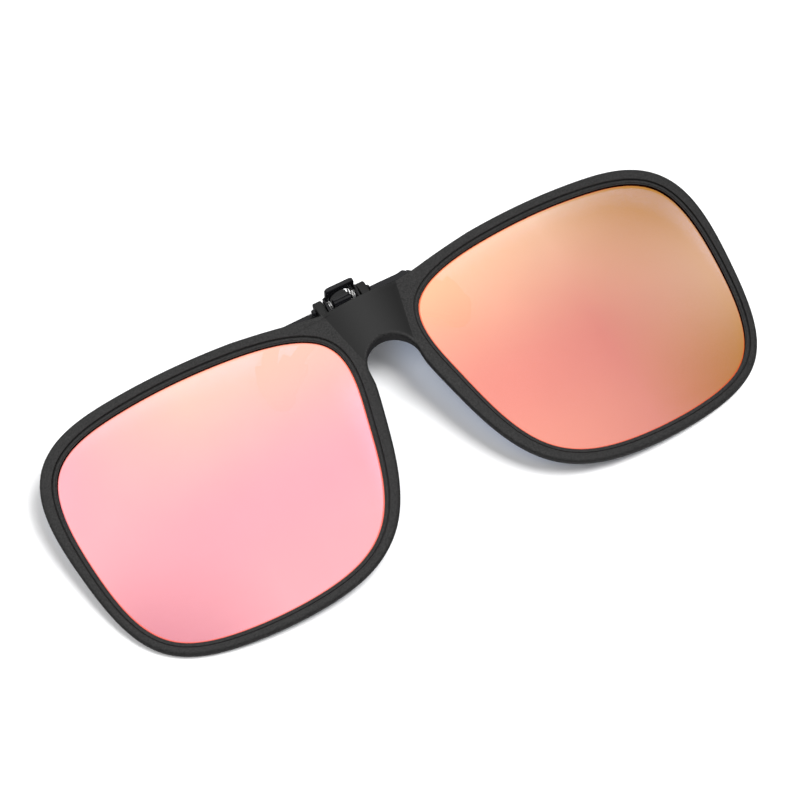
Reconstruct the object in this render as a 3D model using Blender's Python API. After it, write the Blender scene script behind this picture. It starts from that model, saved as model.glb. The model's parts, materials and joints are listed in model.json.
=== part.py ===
"""Clip-on flip-up sunglasses, lying fronts-up on the brow clip and the lower rims.

The pieces are modelled as worn: X to the right lens, Y to the brow, Z out of the front, with
the front's centre line on X = 0. An empty then lays the whole object down on the ground plane.
"""

import math

import bmesh
import bpy
from mathutils import Matrix, Vector

MM = 0.001
GAP = 0.3 * MM

# Joined shapes step past each other by a seam, so that no two of their faces share a plane.
SEAM = 0.06 * MM

# Front: corners (x, y, rim width) of the closed cubic B-spline round the right lens, and the bend.
LENS_CORNERS = (
    (66.5, -0.9, 2.3), (67.3, 21.6, 3.65), (49.4, 24.0, 2.9), (30.2, 23.5, 2.8), (5.1, 19.2, 3.3),
    (9.8, -0.3, 3.4), (12.9, -15.4, 2.85), (22.2, -26.9, 2.55), (52.4, -25.6, 2.25), (63.3, -18.4, 2.3),
)
STEPS_PER_CORNER = 7
BEND_RADIUS = 311 * MM
LENS_THICKNESS = 0.8 * MM
LENS_IN_GROOVE = 0.6 * MM
LENS_FRONT_DEPTH = 0.95 * MM
LENS_RINGS = 4

# Rim section: distances outward from the lens opening and back from the front face.
RIM_DEPTH = 2.6 * MM
LIP_WIDTH = 0.9 * MM
LIP_DEPTH = 0.4 * MM
LIP_DROP = 0.15 * MM
BEAD_START = 1.1 * MM
GROOVE_FRONT = 0.7 * MM
GROOVE_BACK = 2.0 * MM
GROOVE_BOTTOM = 0.9 * MM
BACK_LAND = 0.5 * MM
BACK_ROUND = 0.3 * MM
EDGE_CHAMFER = 0.4 * MM
WALL_TAPER = 0.3 * MM

# Bridge: nose arch, brow line and the raised panel between the rims.
ARCH_RADIUS = 5.05 * MM
ARCH_CENTRE_Y = 7.55 * MM
BROW_LINE = ((0, 22.15), (7.7, 22.05), (11, 22.6), (15, 23.45), (20, 24.35), (25, 25.15))
BRIDGE_FROM = (8.6, 7.0)
BRIDGE_TO = (25.0, 22.2)
ARCH_END = 0.34
CENTRE_END = 0.62
BRIDGE_DEPTH = 3.3 * MM
PANEL_HALF_TOP = 7.7 * MM
PANEL_HALF_BOTTOM = 5.3 * MM
PANEL_TOP_Y = 21.95 * MM
PANEL_BOTTOM_Y = 10.65 * MM
PANEL_BULGE = 0.8 * MM
PANEL_COLUMNS = 4

# Hinge: one pin carries the front's two lugs, both clip jaws and the springs.
PIN_Y = 29.3 * MM
PIN_Z = -14.85 * MM
PIN = (0.0, PIN_Y, PIN_Z)
PIN_RADIUS = 0.45 * MM
PIN_HEAD_RADIUS = 0.8 * MM
PIN_HEAD = 0.6 * MM
PIN_HEAD_CHAMFER = 0.2 * MM
RIVET_HEIGHT = 0.4 * MM
RIVET_RADIUS = 0.75 * MM
RIVET_END_RADIUS = 0.5 * MM
BORE_RADIUS = PIN_RADIUS + 0.25 * MM
CUTTER_OVERRUN = 1.0 * MM
LUG_INNER = 3.75 * MM
LUG_OUTER = 5.5 * MM
LUG_RADIUS = 1.75 * MM
LUG_FRONT = ((18.0, -2.6), (21.3, -2.6), (27.4, -12.95), (30.3, -13.55))
LUG_ROOT = ((17.2, -4.6), (15.5, -2.6))
EAR_INNER = 3.1 * MM
EAR_OUTER = 3.5 * MM
EAR_RADIUS = 1.35 * MM
EAR_FOOT_Y = 24.7 * MM
EAR_FRONT = ((27.9, 0.5), (29.6, 0.9))
EAR_OVERLAP = 0.2 * MM
KNUCKLE_HALF = 1.8 * MM
KNUCKLE_RADIUS = 1.15 * MM
TAB_OUTLINE = ((-1.8, 29.5), (1.8, 29.5), (1.8, 31.3), (1.3, 31.8), (-1.5, 31.45), (-1.8, 31.1))
TAB_Z = PIN_Z - 0.7 * MM
TAB_HALF = 0.3 * MM

# Clip jaws: stamped strips whose claws end in rubber sleeves.
SHEET = 0.5 * MM
CROSS_PLATE_Y = (23.9 * MM, 27.0 * MM)
FRONT_CLAW_Z = -14.0 * MM
REAR_CLAW_Z = -16.7 * MM
REAR_BAR_Z = -17.2 * MM
NECK_Y = (28.7 * MM, 30.1 * MM)
NECK_Z = (REAR_BAR_Z - 0.2 * MM, PIN_Z - 0.8 * MM)
NECK_HALF = KNUCKLE_HALF - 0.1 * MM
REAR_LEAN_FROM = 23 * MM
REAR_LEAN_TO = 28 * MM
PAD_HALF_DEPTH = 1.2 * MM
PAD_LENGTH = 6.5 * MM
PAD_WALL = 0.8 * MM
PAD_BEVEL = 0.35 * MM
FRONT_CLAW = (
    (2.6, 24.7, 2.2), (7.2, 24.3, 2.2), (11.4, 22.9, 2.6), (15.2, 20.4, 3.0), (19.0, 17.4, 3.2),
)
REAR_CLAW = (
    (0.0, 29.83, 1.15), (12.2, 29.83, 1.2), (14.1, 29.3, 2.4),
    (17.2, 25.9, 3.0), (19.2, 21.6, 3.2), (19.0, 17.4, 3.2),
)
LEVER_FRONT = -9.55 * MM
LEVER_BACK = -13.85 * MM
LEVER_TOP = 30.75 * MM
LEVER_THICKNESS = 0.95 * MM
LEVER_HALF = 3.05 * MM
LEVER_ARCH_HALF = 2.1 * MM
LEVER_ARCH_DEPTH = 2.5 * MM
LEVER_CORNER = 0.8 * MM
LEVER_SHOULDER = 0.8 * MM
LEVER_ROLL = 0.28 * MM

# Springs: two small torsion coils of round wire, one on each side of the rear jaw's knuckle.
WIRE_RADIUS = 0.16 * MM
COIL_RADIUS = 0.87 * MM
COIL_TURNS = 1.75
COIL_PITCH = 0.4 * MM
COIL_CENTRE = 2.45 * MM
SPRING_START = -35.0
SPRING_FRONT_LEG = 1.4 * MM
SPRING_REAR_LEG = 1.2 * MM

# The lower rims and the rear sleeves carry the object at a tilt below this one, in degrees.
STEEPEST_TILT = 25.0

BLACK = (0.035, 0.035, 0.037, 1.0)


def clear_scene():
    for thing in list(bpy.data.objects):
        bpy.data.objects.remove(thing, do_unlink=True)


def material(name, colour, roughness, metallic=0.0, alpha=1.0):
    made = bpy.data.materials.new(name)
    made.use_nodes = True
    shader = made.node_tree.nodes["Principled BSDF"]
    shader.inputs["Base Color"].default_value = colour
    shader.inputs["Roughness"].default_value = roughness
    shader.inputs["Metallic"].default_value = metallic
    shader.inputs["Alpha"].default_value = alpha
    return made


def add_empty(name, parent=None, location=(0, 0, 0)):
    empty = bpy.data.objects.new(name, None)
    empty.location = location
    empty.parent = parent
    bpy.context.scene.collection.objects.link(empty)
    return empty


def add_piece(name, mesh, look, parent, origin=(0, 0, 0)):
    """An object from a bmesh in worn coordinates, hung on a parent whose place is origin."""
    bmesh.ops.translate(mesh, verts=mesh.verts, vec=-Vector(origin))
    bmesh.ops.recalc_face_normals(mesh, faces=mesh.faces)
    data = bpy.data.meshes.new(name)
    mesh.to_mesh(data)
    mesh.free()
    data.materials.append(look)
    data.shade_smooth()
    data.set_sharp_from_angle(angle=math.radians(35))
    piece = bpy.data.objects.new(name, data)
    piece.parent = parent
    bpy.context.scene.collection.objects.link(piece)
    return piece


def boolean(piece, other, operation):
    """Join or cut with another object, which stays in the file as a hidden guide."""
    other.hide_render = True
    other.display_type = "WIRE"
    step = piece.modifiers.new(operation.lower(), "BOOLEAN")
    step.operation = operation
    step.solver = "EXACT"
    step.object = other


def bent(x, depth):
    """Height of the bent front at x, this far behind its face."""
    return -x * x / (2 * BEND_RADIUS) - depth


def lens_stations():
    """Round the lens opening, counter-clockwise: point, outward direction and rim width, in metres."""
    corners = [Vector(corner) * MM for corner in LENS_CORNERS]
    found = []
    for index in range(len(corners)):
        a, b, c, d = (corners[(index + shift) % len(corners)] for shift in (-1, 0, 1, 2))
        for step in range(STEPS_PER_CORNER):
            t = step / STEPS_PER_CORNER
            near = (1 - t) ** 3 * a + (3 * t**3 - 6 * t**2 + 4) * b
            far = (3 * t + 3 * t**2 - 3 * t**3 + 1) * c + t**3 * d
            found.append((near + far) / 6)
    stations = []
    for index, at in enumerate(found):
        along = found[(index + 1) % len(found)] - found[index - 1]
        stations.append((at.xy, Vector((along.y, -along.x)).normalized(), at.z))
    return stations


def brow_height(x):
    """Height of the brow line at x, straight between its named places."""
    for (x0, y0), (x1, y1) in zip(BROW_LINE, BROW_LINE[1:]):
        if x <= x1 * MM:
            return MM * (y0 + (y1 - y0) * (x / MM - x0) / (x1 - x0))
    return BROW_LINE[-1][1] * MM


def bridge_edge(share):
    """The bridge's outer edge from the nose side (0) over the arch and centre line to the brow (1)."""
    if share < ARCH_END:
        turn = math.radians(90) * share / ARCH_END
        return Vector((ARCH_RADIUS * math.cos(turn), ARCH_CENTRE_Y + ARCH_RADIUS * math.sin(turn)))
    if share < CENTRE_END:
        low = ARCH_CENTRE_Y + ARCH_RADIUS
        rise = (share - ARCH_END) / (CENTRE_END - ARCH_END)
        return Vector((0.0, low + rise * (BROW_LINE[0][1] * MM - low)))
    x = (share - CENTRE_END) / (1 - CENTRE_END) * BROW_LINE[-1][0] * MM
    return Vector((x, brow_height(x)))


def panel_edge(y):
    """Half width of the raised bridge panel at this height."""
    rise = (y - PANEL_BOTTOM_Y) / (PANEL_TOP_Y - PANEL_BOTTOM_Y)
    return PANEL_HALF_BOTTOM + rise * (PANEL_HALF_TOP - PANEL_HALF_BOTTOM)


def crease_share(inner, outer):
    """How far from inner to outer the panel's crease is met, or None where it isn't."""
    before = inner.x - panel_edge(inner.y)
    after = outer.x - panel_edge(outer.y)
    return before / (before - after) if after < 0 < before else None


def panel_height(point):
    """Front height of the bridge panel, bulging to its centre line."""
    edge = panel_edge(point.y)
    return bent(point.x, 0) + PANEL_BULGE * max(0.0, 1 - (point.x / edge) ** 2)


def nearest_station(stations, place):
    target = Vector(place) * MM
    return min(range(len(stations)), key=lambda index: (stations[index][0] - target).length)


def bridge_shares(stations):
    """Share along the bridge's edge for each station that faces it, hitting both centre line ends."""
    first = nearest_station(stations, BRIDGE_TO)
    count = (nearest_station(stations, BRIDGE_FROM) - first) % len(stations)
    shares = {(first + step) % len(stations): 1 - step / count for step in range(count + 1)}
    for corner in (ARCH_END, CENTRE_END):
        nearest = min(shares, key=lambda index: abs(shares[index] - corner))
        shares[nearest] = corner
    return shares


def half_front():
    """Right half of the front: a rim swept round the lens, reaching the centre line at the bridge."""
    places = lens_stations()
    shares = bridge_shares(places)
    mesh = bmesh.new()
    stations = []
    for index, (point, normal, width) in enumerate(places):
        edge = bridge_edge(shares[index]) if index in shares else point + width * normal
        stations.append(front_station(mesh, point, normal, edge, index in shares))
    for index, here in enumerate(stations):
        join_stations(mesh, here, stations[(index + 1) % len(stations)])
    return mesh


def front_station(mesh, point, normal, edge, on_bridge):
    """Section loop at one lens point, as a dict of named vertices and a list of panel vertices."""

    def place(at, depth):
        return mesh.verts.new((at.x, at.y, bent(at.x, depth)))

    def on_face(at):
        return mesh.verts.new((at.x, at.y, panel_height(at)))

    back = RIM_DEPTH
    bead = point + BEAD_START * normal
    inward = (bead - edge).normalized()
    at_centre = abs(edge.x) < 1e-9
    shoulder = edge if at_centre else edge + EDGE_CHAMFER * inward
    station = {"groove": [], "panel": [], "centre": at_centre}
    for across, depth in (
        (GROOVE_BOTTOM, GROOVE_BACK),
        (GROOVE_BOTTOM, GROOVE_FRONT),
        (0.0, GROOVE_FRONT),
        (0.0, LIP_DEPTH + LIP_DROP),
        (LIP_WIDTH, LIP_DEPTH),
    ):
        station["groove"].append(place(point + across * normal, depth))
    station["groove"].append(place(bead, 0.0))
    if on_bridge:
        share = crease_share(bead, shoulder)
        if share is not None:
            crease = bead.lerp(shoulder, share)
            for column in range(PANEL_COLUMNS):
                station["panel"].append(on_face(crease.lerp(shoulder, column / PANEL_COLUMNS)))
        back = BRIDGE_DEPTH
    station["shoulder"] = on_face(shoulder) if on_bridge else place(shoulder, 0.0)
    if at_centre:
        station["edge"] = station["shoulder"]
        station["low"] = place(edge, back)
        station["back"] = station["low"]
    else:
        drop = panel_height(edge) if on_bridge else bent(edge.x, 0)
        station["edge"] = mesh.verts.new((edge.x, edge.y, drop - EDGE_CHAMFER))
        station["low"] = place(edge + WALL_TAPER * inward, back - EDGE_CHAMFER)
        station["back"] = place(shoulder + WALL_TAPER * inward, back)
    station["inner"] = [
        place(point + BACK_LAND * normal, RIM_DEPTH),
        place(point, RIM_DEPTH - BACK_ROUND),
        place(point, GROOVE_BACK),
    ]
    return station


def join_stations(mesh, here, there):
    """Faces between two neighbouring sections, leaving the centre line open."""

    def face(*corners):
        kept = []
        for corner in corners:
            if corner not in kept:
                kept.append(corner)
        if len(kept) > 2:
            mesh.faces.new(kept)

    def strip(first, second):
        for low, high in zip(range(len(first)), range(1, len(first))):
            face(first[low], second[low], second[high], first[high])

    strip(here["groove"], there["groove"])
    if len(here["panel"]) == len(there["panel"]):
        first = [here["groove"][-1], *here["panel"], here["shoulder"]]
        second = [there["groove"][-1], *there["panel"], there["shoulder"]]
        strip(first, second)
    else:
        face(
            here["groove"][-1],
            there["groove"][-1],
            *there["panel"],
            there["shoulder"],
            here["shoulder"],
            *reversed(here["panel"]),
        )
    if not (here["centre"] and there["centre"]):
        face(here["shoulder"], there["shoulder"], there["edge"], here["edge"])
        face(here["edge"], there["edge"], there["low"], here["low"])
        face(here["low"], there["low"], there["back"], here["back"])
    face(here["back"], there["back"], there["inner"][0], here["inner"][0])
    strip(here["inner"], there["inner"])
    face(here["inner"][-1], there["inner"][-1], there["groove"][0], here["groove"][0])


def mirrored(mesh):
    """Adds the left half and sews the two along the centre line."""
    copied = bmesh.ops.duplicate(mesh, geom=mesh.verts[:] + mesh.edges[:] + mesh.faces[:])["geom"]
    verts = [part for part in copied if isinstance(part, bmesh.types.BMVert)]
    for vert in verts:
        vert.co.x = -vert.co.x
    middle = [vert for vert in mesh.verts if abs(vert.co.x) < 1e-7]
    bmesh.ops.remove_doubles(mesh, verts=middle, dist=1e-6)
    return mesh


def extruded(points, along):
    """A prism: a closed outline of points pushed along a vector."""
    mesh = bmesh.new()
    face = mesh.faces.new([mesh.verts.new(point) for point in points])
    made = bmesh.ops.extrude_face_region(mesh, geom=[face])["geom"]
    moved = [part for part in made if isinstance(part, bmesh.types.BMVert)]
    bmesh.ops.translate(mesh, verts=moved, vec=along)
    return mesh


def side_profile(points, x_from, x_to):
    """A flat plate standing across X: its profile is given as (y, z) points."""
    return extruded([(x_from, y, z) for y, z in points], (x_to - x_from, 0, 0))


def arc(y, z, radius, start, end, steps):
    """Points of an arc in the (y, z) plane, angles in degrees from +Y toward +Z."""
    turns = [math.radians(start + (end - start) * step / steps) for step in range(steps + 1)]
    return [(y + radius * math.cos(turn), z + radius * math.sin(turn)) for turn in turns]


def lug_mesh(side):
    """One hinge lug: an arm from the back of the bridge to the eye round the pin."""
    eye = arc(PIN_Y, PIN_Z, LUG_RADIUS, 20, -180, 12)
    front = [(y * MM, z * MM) for y, z in LUG_FRONT]
    root = [(y * MM, z * MM) for y, z in LUG_ROOT]
    near, far = sorted((side * LUG_INNER, side * LUG_OUTER))
    return side_profile(front + eye + root, near, far)


def cylinder_mesh(radius, x_from, x_to, segments=24):
    """A round bar along the pin's axis."""
    turn = Matrix.Rotation(math.radians(90), 4, "Y")
    place = Matrix.Translation(((x_from + x_to) / 2, PIN_Y, PIN_Z))
    mesh = bmesh.new()
    bmesh.ops.create_cone(
        mesh,
        cap_ends=True,
        segments=segments,
        radius1=radius,
        radius2=radius,
        depth=x_to - x_from,
        matrix=place @ turn,
    )
    return mesh


def bore_mesh(half):
    """Cutter for the pin's bore through a piece this wide each side of the centre line."""
    return cylinder_mesh(BORE_RADIUS, -half - CUTTER_OVERRUN, half + CUTTER_OVERRUN, 16)


def lens_mesh(side):
    """One bent lens, thin and closed, reaching into the rim's groove."""
    rim = [point + LENS_IN_GROOVE * normal for point, normal, _ in lens_stations()]
    centre = sum(rim, Vector((0, 0))) / len(rim)
    mesh = bmesh.new()
    front = lens_face(mesh, rim, centre, side, LENS_FRONT_DEPTH)
    back = lens_face(mesh, rim, centre, side, LENS_FRONT_DEPTH + LENS_THICKNESS)
    for index in range(len(rim)):
        after = (index + 1) % len(rim)
        mesh.faces.new((front[index], front[after], back[after], back[index]))
    return mesh


def lens_face(mesh, rim, centre, side, depth):
    """Rings of quads from the edge in to the centre, returning the edge's vertices."""
    rings = []
    for ring in range(LENS_RINGS):
        share = 1 - ring / LENS_RINGS
        flat = [centre + (point - centre) * share for point in rim]
        rings.append([mesh.verts.new((side * at.x, at.y, bent(at.x, depth))) for at in flat])
    for outer, inner in zip(rings, rings[1:]):
        for index in range(len(rim)):
            after = (index + 1) % len(rim)
            mesh.faces.new((outer[index], outer[after], inner[after], inner[index]))
    middle = mesh.verts.new((side * centre.x, centre.y, bent(centre.x, depth)))
    for index in range(len(rim)):
        mesh.faces.new((rings[-1][index], rings[-1][(index + 1) % len(rim)], middle))
    return rings[0]


def strip_outline(path, widen=0.0, round_steps=8, smooth=4):
    """Outline of a strip along a smooth path of (x, y, width) stations, with a round far end."""
    stations = smoothed(path, smooth)
    left, right = [], []
    for index, (at, width) in enumerate(stations):
        before = stations[max(index - 1, 0)][0]
        after = stations[min(index + 1, len(stations) - 1)][0]
        along = (after - before).normalized()
        across = Vector((-along.y, along.x)) * (width / 2 + widen)
        left.append(at + across)
        right.append(at - across)
    end, radius = stations[-1][0], stations[-1][1] / 2 + widen
    last = stations[-1][0] - stations[-2][0]
    start = math.atan2(last.y, last.x) + math.pi / 2
    cap = []
    for step in range(1, round_steps):
        turn = start - math.pi * step / round_steps
        cap.append(end + radius * Vector((math.cos(turn), math.sin(turn))))
    return left + cap + right[::-1]


def smoothed(path, steps):
    """Catmull-Rom points and widths through the stations, in metres."""
    given = [(Vector((x, y)) * MM, width * MM) for x, y, width in path]
    result = []
    for index in range(len(given) - 1):
        (a, _), (b, wide), (c, narrow) = given[max(index - 1, 0)], given[index], given[index + 1]
        d = given[min(index + 2, len(given) - 1)][0]
        for step in range(steps):
            t = step / steps
            bend = (2 * a - 5 * b + 4 * c - d) * t**2 + (3 * b - 3 * c + d - a) * t**3
            result.append(((2 * b + (c - a) * t + bend) / 2, wide + (narrow - wide) * t))
    result.append(given[-1])
    return result


def plate(outline, side, middle, half):
    """A flat plate of the given half thickness from an outline in the front's plane."""
    return extruded([(side * at.x, at.y, middle - half) for at in outline], (0, 0, 2 * half))


def box(x, y, z):
    """A block between the given (low, high) pairs."""
    mesh = bmesh.new()
    bmesh.ops.create_cube(mesh, size=1.0)
    for vert in mesh.verts:
        for axis, (low, high) in enumerate((x, y, z)):
            vert.co[axis] = (low + high) / 2 + vert.co[axis] * (high - low)
    return mesh


def tip_path(path):
    """The last stretch of a claw's path, as long as its rubber sleeve."""
    stations = smoothed(path, 12)
    kept = [stations[-1]]
    length = 0.0
    for (before, _), (after, _) in zip(stations[-2::-1], stations[:0:-1]):
        length += (after - before).length
        kept.append((before, stations[-1][1]))
        if length > PAD_LENGTH:
            break
    return [(at.x / MM, at.y / MM, width / MM) for at, width in reversed(kept)][::2]


def add_pad(name, path, side, middle, look, parent, origin):
    """A rubber sleeve over a claw's end, with a pocket that clears the metal."""
    tip = tip_path(path)
    body = plate(strip_outline(tip, GAP + PAD_WALL, smooth=1), side, middle, PAD_HALF_DEPTH)
    corners = [edge for edge in body.edges if abs(edge.verts[0].co.z - edge.verts[1].co.z) < 1e-9]
    bmesh.ops.bevel(body, geom=corners, offset=PAD_BEVEL, segments=2, affect="EDGES")
    pad = add_piece(name, body, look, parent, origin)
    pocket = plate(strip_outline(path, GAP), side, middle, SHEET / 2 + GAP)
    boolean(pad, add_piece(name + "_pocket", pocket, look, parent, origin), "DIFFERENCE")
    return pad


def add_front(looks, flip):
    """The moulded front with both rims, the bridge and the two hinge lugs."""
    front = add_piece("front_frame", mirrored(half_front()), looks["plastic"], flip, PIN)
    for side in (-1, 1):
        lug = add_piece(f"lug_{side}", lug_mesh(side), looks["plastic"], flip, PIN)
        boolean(front, lug, "UNION")
    bore = bore_mesh(LUG_OUTER)
    boolean(front, add_piece("lug_bore", bore, looks["plastic"], flip, PIN), "DIFFERENCE")
    add_piece("lens_left", lens_mesh(-1), looks["lens_left"], flip, PIN)
    add_piece("lens_right", lens_mesh(1), looks["lens_right"], flip, PIN)
    return front


def pin_mesh():
    """The headed pin, turned as one profile about its axis."""
    reach = LUG_OUTER + GAP
    profile = (
        (-reach - PIN_HEAD, 0.0),
        (-reach - PIN_HEAD, PIN_HEAD_RADIUS - PIN_HEAD_CHAMFER),
        (-reach - PIN_HEAD + PIN_HEAD_CHAMFER, PIN_HEAD_RADIUS),
        (-reach, PIN_HEAD_RADIUS),
        (-reach, PIN_RADIUS),
        (reach, PIN_RADIUS),
        (reach, RIVET_RADIUS),
        (reach + RIVET_HEIGHT, RIVET_END_RADIUS),
        (reach + RIVET_HEIGHT, 0.0),
    )
    mesh = bmesh.new()
    line = [mesh.verts.new((x, PIN_Y + radius, PIN_Z)) for x, radius in profile]
    edges = [mesh.edges.new(pair) for pair in zip(line, line[1:])]
    bmesh.ops.spin(
        mesh,
        geom=line + edges,
        cent=(0, PIN_Y, PIN_Z),
        axis=(1, 0, 0),
        angle=math.tau,
        steps=16,
        use_duplicate=False,
    )
    bmesh.ops.remove_doubles(mesh, verts=mesh.verts, dist=1e-6)
    return mesh


def lever_mesh():
    """The front jaw's finger lever: a flat tab over the hinge, arched at the back, with rounded corners."""
    outline = [(LEVER_HALF - LEVER_CORNER, LEVER_FRONT), (LEVER_HALF, LEVER_FRONT - LEVER_CORNER)]
    shoulder = LEVER_BACK + LEVER_SHOULDER
    outline += [(LEVER_HALF, shoulder), (EAR_OUTER - SEAM, shoulder)]
    outline += [(EAR_OUTER - SEAM, LEVER_BACK)]
    steps = 6
    for step in range(steps + 1):
        turn = math.radians(90 * step / steps)
        across = LEVER_ARCH_HALF * math.cos(turn)
        outline.append((across, LEVER_BACK + LEVER_ARCH_DEPTH * math.sin(turn)))
    outline += [(-x, z) for x, z in reversed(outline[:-1])]
    low = LEVER_TOP - LEVER_THICKNESS
    mesh = extruded([(x, low, z) for x, z in outline], (0, LEVER_THICKNESS, 0))
    flat = [edge for edge in mesh.edges if abs(edge.verts[0].co.y - edge.verts[1].co.y) < 1e-9]
    outer = [edge for edge in flat if max(abs(vert.co.x) for vert in edge.verts) > LEVER_HALF - MM]
    rounded = [edge for edge in outer if min(vert.co.z for vert in edge.verts) > shoulder - SEAM]
    bmesh.ops.bevel(mesh, geom=rounded, offset=LEVER_ROLL, segments=2, affect="EDGES")
    return mesh


def ear_mesh(side):
    """One ear of the front jaw, from the lever round the pin and down to the cross plate."""
    top = LEVER_TOP - EAR_OVERLAP
    front = [(y * MM, LEVER_BACK + ahead * MM) for y, ahead in EAR_FRONT]
    profile = [(top, front[-1][1]), (top, LEVER_BACK + SEAM)]
    profile += arc(PIN_Y, PIN_Z, EAR_RADIUS, -10, -170, 8)
    profile += [(EAR_FOOT_Y, FRONT_CLAW_Z - 2 * SEAM), (EAR_FOOT_Y, FRONT_CLAW_Z + 2 * SEAM)]
    profile += front
    near, far = sorted((side * EAR_INNER, side * EAR_OUTER))
    return side_profile(profile, near, far)


def add_front_jaw(looks, parent):
    """The jaw before the lens: lever, ears, cross plate and two claws."""
    width = EAR_OUTER - SEAM
    middle = (FRONT_CLAW_Z - SHEET / 2 + SEAM, FRONT_CLAW_Z + SHEET / 2 - SEAM)
    cross = box((-width, width), CROSS_PLATE_Y, middle)
    jaw = add_piece("front_jaw", cross, looks["black_steel"], parent, PIN)
    for side in (-1, 1):
        claw = plate(strip_outline(FRONT_CLAW), side, FRONT_CLAW_Z, SHEET / 2)
        add_joined(jaw, f"ear_shape_{side}", ear_mesh(side), looks, parent)
        add_joined(jaw, f"front_claw_shape_{side}", claw, looks, parent)
    bore = bore_mesh(EAR_OUTER)
    boolean(jaw, add_piece("ear_bore", bore, looks["black_steel"], parent, PIN), "DIFFERENCE")
    add_joined(jaw, "lever_shape", lever_mesh(), looks, parent)


def add_joined(piece, name, mesh, looks, parent):
    boolean(piece, add_piece(name, mesh, looks["black_steel"], parent, PIN), "UNION")


def leaned(mesh):
    """Brings the rear claws forward from the bar to where they meet the front ones."""
    for vert in mesh.verts:
        share = (REAR_LEAN_TO - vert.co.y) / (REAR_LEAN_TO - REAR_LEAN_FROM)
        vert.co.z += (REAR_CLAW_Z - REAR_BAR_Z) * min(max(share, 0.0), 1.0)
    return mesh


def tab_mesh():
    """The rear jaw's finger tab, standing on the knuckle with one corner cut away."""
    return plate([Vector(corner) * MM for corner in TAB_OUTLINE], 1, TAB_Z, TAB_HALF)


def add_rear_jaw(looks, parent):
    """The jaw behind the lens: knuckle, finger tab, cross bar and two claws."""
    knuckle = cylinder_mesh(KNUCKLE_RADIUS, -KNUCKLE_HALF, KNUCKLE_HALF, 20)
    jaw = add_piece("rear_jaw", knuckle, looks["black_steel"], parent, PIN)
    add_joined(jaw, "tab_shape", tab_mesh(), looks, parent)
    add_joined(jaw, "neck_shape", box((-NECK_HALF, NECK_HALF), NECK_Y, NECK_Z), looks, parent)
    for side in (-1, 1):
        claw = leaned(plate(strip_outline(REAR_CLAW), side, REAR_BAR_Z, SHEET / 2))
        add_joined(jaw, f"rear_claw_shape_{side}", claw, looks, parent)
    bore = bore_mesh(KNUCKLE_HALF)
    boolean(jaw, add_piece("knuckle_bore", bore, looks["black_steel"], parent, PIN), "DIFFERENCE")


def spring_path(side):
    """Centre line of one torsion spring: front leg, coil round the pin, rear leg."""
    steps = 22
    start, turned = math.radians(SPRING_START), math.tau * COIL_TURNS
    width = COIL_PITCH * COIL_TURNS
    coil = []
    for step in range(steps + 1):
        share = step / steps
        turn = start - turned * share
        x = COIL_CENTRE - width / 2 + width * share
        coil.append(Vector((x, PIN_Y + COIL_RADIUS * math.cos(turn), PIN_Z + COIL_RADIUS * math.sin(turn))))
    front_way = (coil[0] - coil[1]).normalized()
    rear_way = (coil[-1] - coil[-2]).normalized()
    path = [coil[0] + front_way * SPRING_FRONT_LEG, *coil, coil[-1] + rear_way * SPRING_REAR_LEG]
    return [Vector((side * at.x, at.y, at.z)) for at in path]


def wire_mesh(path, sides=6):
    """A round wire swept along a path, closed at both ends."""
    mesh = bmesh.new()
    rings = []
    for index, at in enumerate(path):
        along = (path[min(index + 1, len(path) - 1)] - path[max(index - 1, 0)]).normalized()
        across = along.cross(Vector((1, 0, 0))).normalized()
        up = along.cross(across)
        turns = [math.tau * step / sides for step in range(sides)]
        ring = [at + WIRE_RADIUS * (math.cos(t) * across + math.sin(t) * up) for t in turns]
        rings.append([mesh.verts.new(corner) for corner in ring])
    for first, second in zip(rings, rings[1:]):
        for index in range(sides):
            after = (index + 1) % sides
            mesh.faces.new((first[index], first[after], second[after], second[index]))
    mesh.faces.new(rings[0])
    mesh.faces.new(rings[-1])
    return mesh


def add_clip(looks, clip, clamp):
    """Both jaws with their rubber sleeves, the pin and the springs."""
    add_front_jaw(looks, clip)
    add_rear_jaw(looks, clamp)
    add_piece("hinge_pin", pin_mesh(), looks["black_steel"], clip, PIN)
    for side, name in ((-1, "left"), (1, "right")):
        add_piece(f"spring_{name}", wire_mesh(spring_path(side)), looks["steel"], clip, PIN)
        add_pad(f"pad_front_{name}", FRONT_CLAW, side, FRONT_CLAW_Z, looks["rubber"], clip, PIN)
        add_pad(f"pad_rear_{name}", REAR_CLAW, side, REAR_CLAW_Z, looks["rubber"], clamp, PIN)


def lowest(pieces, tilt, y_range):
    """Lowest height of these pieces' points after tilting, within a range of y as worn."""
    heights = []
    for piece in pieces:
        for vert in piece.data.vertices:
            at = vert.co + Vector(PIN)
            if y_range[0] < at.y < y_range[1]:
                heights.append(at.y * math.sin(tilt) + at.z * math.cos(tilt))
    return min(heights)


def resting_tilt(front, clip_parts):
    """Tilt at which the lower rims and the clip's rear sleeves touch the ground together."""
    low, high = 0.0, math.radians(STEEPEST_TILT)
    for _ in range(40):
        middle = (low + high) / 2
        rims = lowest([front], middle, (-math.inf, 0.0))
        clip = lowest(clip_parts, middle, (0.0, math.inf))
        if clip < rims:
            low = middle
        else:
            high = middle
    return middle


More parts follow.
